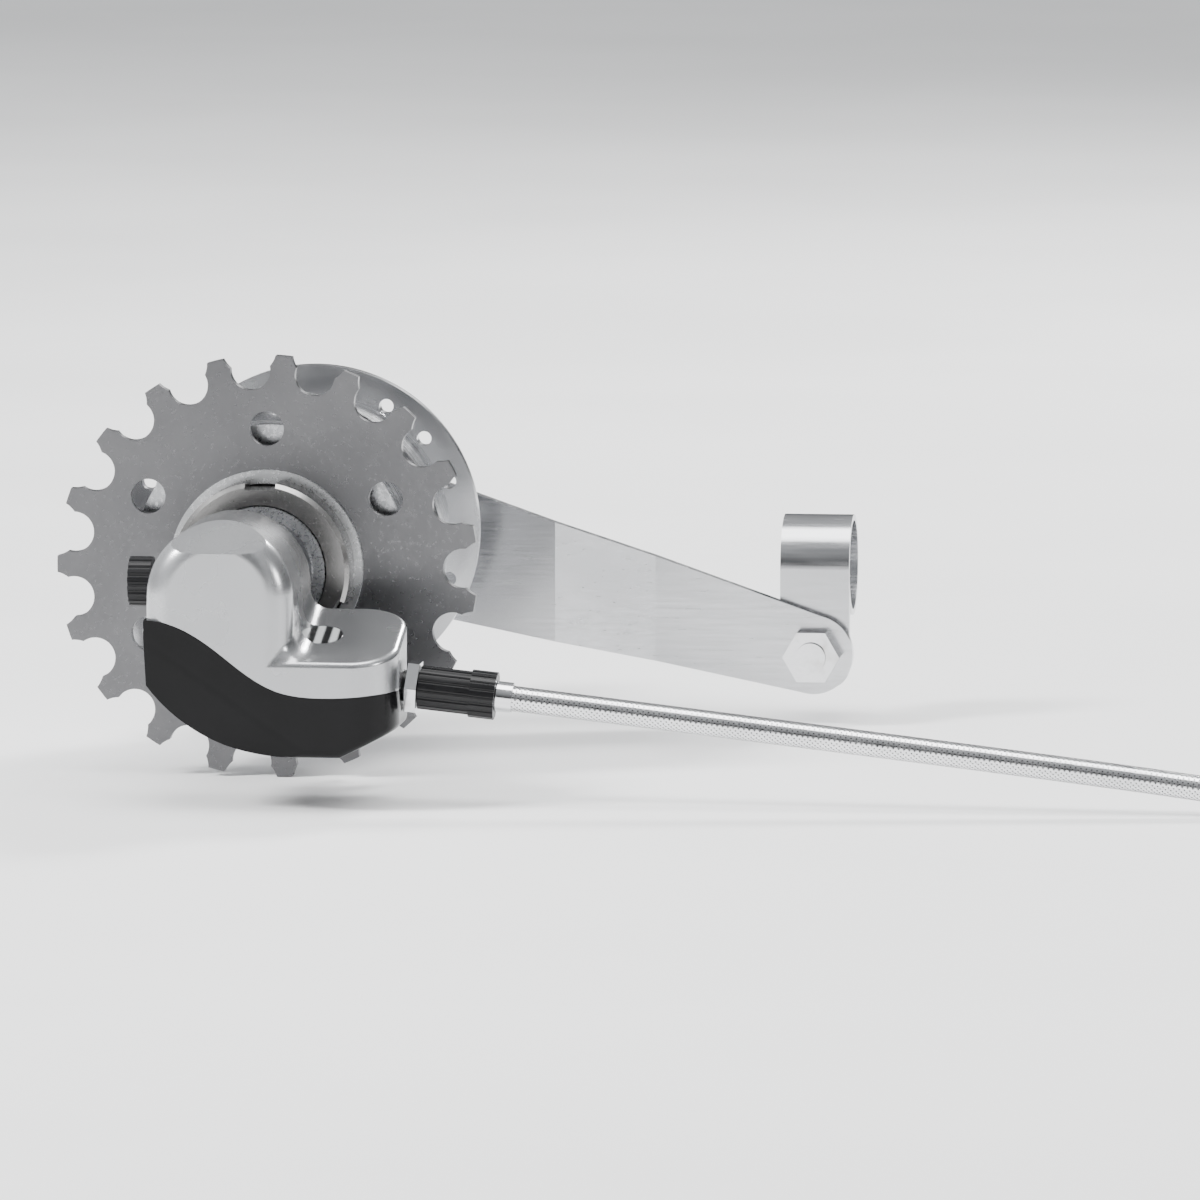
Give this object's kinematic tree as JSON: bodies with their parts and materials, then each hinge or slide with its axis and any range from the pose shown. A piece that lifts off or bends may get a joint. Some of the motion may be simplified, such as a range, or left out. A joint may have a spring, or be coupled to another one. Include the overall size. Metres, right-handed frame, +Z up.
{
  "type": "bicycle hub gear",
  "caption": "Planetary bicycle hub gear with a side-mounted shift actuator, its braided cable, a brake arm with a tube clip, and a toothed sprocket.",
  "frame": {"origin": "middle of the axle, half way between the two lock nut faces", "axes": "+X forwards along the bicycle, +Y along the axle to the left (brake) side, +Z up"},
  "size_m": [0.3258, 0.181, 0.0827],
  "materials": {
    "axle_steel": "zinc plated steel",
    "nut_steel": "bright plated steel",
    "shell_alloy": "satin silver alloy",
    "gear_steel": "hardened and oiled steel",
    "ball_steel": "polished steel",
    "race_steel": "ground steel",
    "sprocket_steel": "dark plated steel",
    "shoe_bronze": "worn bearing bronze",
    "arm_steel": "bright plated pressed steel",
    "seal_steel": "pressed steel cap",
    "cover_silver": "satin silver paint",
    "housing_black": "glossy black plastic",
    "lens_clear": "clear moulded window",
    "indicator_white": "white plastic with a mark",
    "knob_black": "black moulded plastic",
    "cable_braid": "steel braid under a clear jacket",
    "ferrule_metal": "plated cap"
  },
  "bodies": {
    "axle_set": {"axle": "axle_steel", "sun_gear": "gear_steel", "left_cone": "race_steel", "right_cone": "race_steel", "lock_nuts": "axle_steel", "arm_nut": "nut_steel", "nonturn_washers": "axle_steel", "axle_nuts": "nut_steel", "brake_arm": "arm_steel", "arm_clip": "arm_steel", "clip_bolt": "nut_steel", "clip_nut": "nut_steel", "brake_dust_cap": "seal_steel", "driver_dust_cap": "seal_steel", "shift_cover": "cover_silver", "shift_housing": "housing_black", "lever_pin": "axle_steel", "window_lens": "lens_clear", "clutch_spring": "gear_steel", "cable_casing": "cable_braid", "casing_ferrule": "ferrule_metal", "cable_tail": "cable_braid", "cable_coil": "cable_braid", "cable_ferrule": "ferrule_metal", "wire_nipple": "axle_steel"},
    "shell": {"hub_shell": "shell_alloy", "right_cup": "race_steel", "shell_ratchet": "gear_steel", "left_dust_cap": "seal_steel"},
    "driver_set": {"driver": "gear_steel", "sprocket": "sprocket_steel", "snap_ring": "axle_steel", "right_dust_cap": "seal_steel"},
    "carrier": {"planet_carrier": "gear_steel", "planet_pins": "race_steel"},
    "planet_1": {"planet_gear_1": "gear_steel"},
    "planet_2": {"planet_gear_2": "gear_steel"},
    "planet_3": {"planet_gear_3": "gear_steel"},
    "planet_4": {"planet_gear_4": "gear_steel"},
    "ring": {"ring_gear": "gear_steel", "pawl_pins": "race_steel"},
    "pawl_1": {"ring_pawl_1": "race_steel"},
    "pawl_2": {"ring_pawl_2": "race_steel"},
    "clutch_ring": {"clutch": "gear_steel"},
    "push_rod_set": {"push_rod": "axle_steel", "axle_key": "race_steel"},
    "left_bearing": {"left_balls": "ball_steel", "left_cage": "seal_steel"},
    "right_bearing": {"right_balls": "ball_steel", "right_cage": "seal_steel"},
    "driver_bearing": {"driver_balls": "ball_steel"},
    "brake_expander": {"brake_cone": "race_steel"},
    "upper_shoe": {"brake_shoe_upper": "shoe_bronze"},
    "lower_shoe": {"brake_shoe_lower": "shoe_bronze"},
    "lever": {"shift_lever": "race_steel"},
    "wire": {"inner_wire": "axle_steel", "indicator": "indicator_white"},
    "adjuster": {"barrel_adjuster": "knob_black"},
    "adjuster_lock": {"adjuster_nut": "nut_steel"},
    "knob": {"fixing_knob": "knob_black"}
  },
  "joints": [
    {"name": "shell_spin", "type": "hinge", "parent": "axle_set", "child": "shell", "pos_m": [0, 0, 0], "axis": [0, 1, 0], "continuous": true},
    {"name": "driver_spin", "type": "hinge", "parent": "axle_set", "child": "driver_set", "pos_m": [0, 0, 0], "axis": [0, 1, 0], "continuous": true},
    {"name": "ring_spin", "type": "hinge", "parent": "axle_set", "child": "ring", "pos_m": [0, 0, 0], "axis": [0, 1, 0], "continuous": true},
    {"name": "carrier_spin", "type": "hinge", "parent": "axle_set", "child": "carrier", "pos_m": [0, 0, 0], "axis": [0, 1, 0], "continuous": true},
    {"name": "left_bearing_spin", "type": "hinge", "parent": "axle_set", "child": "left_bearing", "pos_m": [0, 0, 0], "axis": [0, 1, 0], "continuous": true},
    {"name": "right_bearing_spin", "type": "hinge", "parent": "axle_set", "child": "right_bearing", "pos_m": [0, 0, 0], "axis": [0, 1, 0], "continuous": true},
    {"name": "driver_bearing_spin", "type": "hinge", "parent": "axle_set", "child": "driver_bearing", "pos_m": [0, 0, 0], "axis": [0, 1, 0], "continuous": true},
    {"name": "planet_1_spin", "type": "hinge", "parent": "carrier", "child": "planet_1", "pos_m": [0.0135, 0, 0], "axis": [0, 1, 0], "continuous": true},
    {"name": "planet_2_spin", "type": "hinge", "parent": "carrier", "child": "planet_2", "pos_m": [0, 0, 0.0135], "axis": [0, 1, 0], "continuous": true},
    {"name": "planet_3_spin", "type": "hinge", "parent": "carrier", "child": "planet_3", "pos_m": [-0.0135, 0, 0], "axis": [0, 1, 0], "continuous": true},
    {"name": "planet_4_spin", "type": "hinge", "parent": "carrier", "child": "planet_4", "pos_m": [0, 0, -0.0135], "axis": [0, 1, 0], "continuous": true},
    {"name": "pawl_1_hinge", "type": "hinge", "parent": "ring", "child": "pawl_1", "pos_m": [0.00093, -0.017, 0.02128], "axis": [0, 1, 0], "range_deg": [0, 10], "stiffness_Nm_per_rad": 0.004, "springref_deg": -11.46},
    {"name": "pawl_2_hinge", "type": "hinge", "parent": "ring", "child": "pawl_2", "pos_m": [-0.00093, -0.017, -0.02128], "axis": [0, 1, 0], "range_deg": [0, 10], "stiffness_Nm_per_rad": 0.004, "springref_deg": -11.46},
    {"name": "lever_pull", "type": "hinge", "parent": "axle_set", "child": "lever", "pos_m": [0.0065, -0.091, -0.009], "axis": [0, 0, -1], "range_deg": [0, 40], "stiffness_Nm_per_rad": 0.3, "springref_deg": -17.19},
    {"name": "push_rod_slide", "type": "slide", "parent": "axle_set", "child": "push_rod_set", "axis": [0, 1, 0], "range_m": [0, 0.0046]},
    {"name": "clutch_slide", "type": "slide", "parent": "driver_set", "child": "clutch_ring", "axis": [0, 1, 0], "range_m": [0, 0.0046], "deforming": ["clutch_spring"]},
    {"name": "wire_slide", "type": "slide", "parent": "axle_set", "child": "wire", "axis": [0.9945, 0, -0.1045], "range_m": [0, 0.0057]},
    {"name": "brake_expand", "type": "slide", "parent": "axle_set", "child": "brake_expander", "axis": [0, 1, 0], "range_m": [0, 0.0015]},
    {"name": "upper_shoe_slide", "type": "slide", "parent": "axle_set", "child": "upper_shoe", "axis": [0, 0, 1], "range_m": [0, 0.00045]},
    {"name": "lower_shoe_slide", "type": "slide", "parent": "axle_set", "child": "lower_shoe", "axis": [0, 0, -1], "range_m": [0, 0.00045]},
    {"name": "adjuster_turn", "type": "hinge", "parent": "axle_set", "child": "adjuster", "pos_m": [0.032, -0.0833, -0.0183], "axis": [0.9945, 0, -0.1045], "continuous": true},
    {"name": "adjuster_nut_turn", "type": "hinge", "parent": "axle_set", "child": "adjuster_lock", "pos_m": [0.032, -0.0833, -0.0183], "axis": [0.9945, 0, -0.1045], "continuous": true},
    {"name": "knob_turn", "type": "hinge", "parent": "axle_set", "child": "knob", "pos_m": [-0.0187, -0.0836, 0.0012], "axis": [1, 0, 0], "continuous": true}
  ],
  "couplings": [
    {"joint": "driver_spin", "follows": "shell_spin", "ratio": 0.73333},
    {"joint": "ring_spin", "follows": "shell_spin", "ratio": 1},
    {"joint": "carrier_spin", "follows": "shell_spin", "ratio": 0.73333},
    {"joint": "left_bearing_spin", "follows": "shell_spin", "ratio": 0.6057},
    {"joint": "right_bearing_spin", "follows": "shell_spin", "ratio": 0.8847},
    {"joint": "driver_bearing_spin", "follows": "shell_spin", "ratio": 0.4497},
    {"joint": "planet_1_spin", "follows": "shell_spin", "ratio": 0.8381},
    {"joint": "planet_2_spin", "follows": "shell_spin", "ratio": 0.8381},
    {"joint": "planet_3_spin", "follows": "shell_spin", "ratio": 0.8381},
    {"joint": "planet_4_spin", "follows": "shell_spin", "ratio": 0.8381},
    {"joint": "push_rod_slide", "follows": "lever_pull", "m_per_rad": 0.0063688},
    {"joint": "clutch_slide", "follows": "lever_pull", "m_per_rad": 0.0063688},
    {"joint": "wire_slide", "follows": "lever_pull", "m_per_rad": 0.0078385},
    {"joint": "upper_shoe_slide", "follows": "brake_expand", "ratio": 0.28},
    {"joint": "lower_shoe_slide", "follows": "brake_expand", "ratio": 0.28}
  ]
}
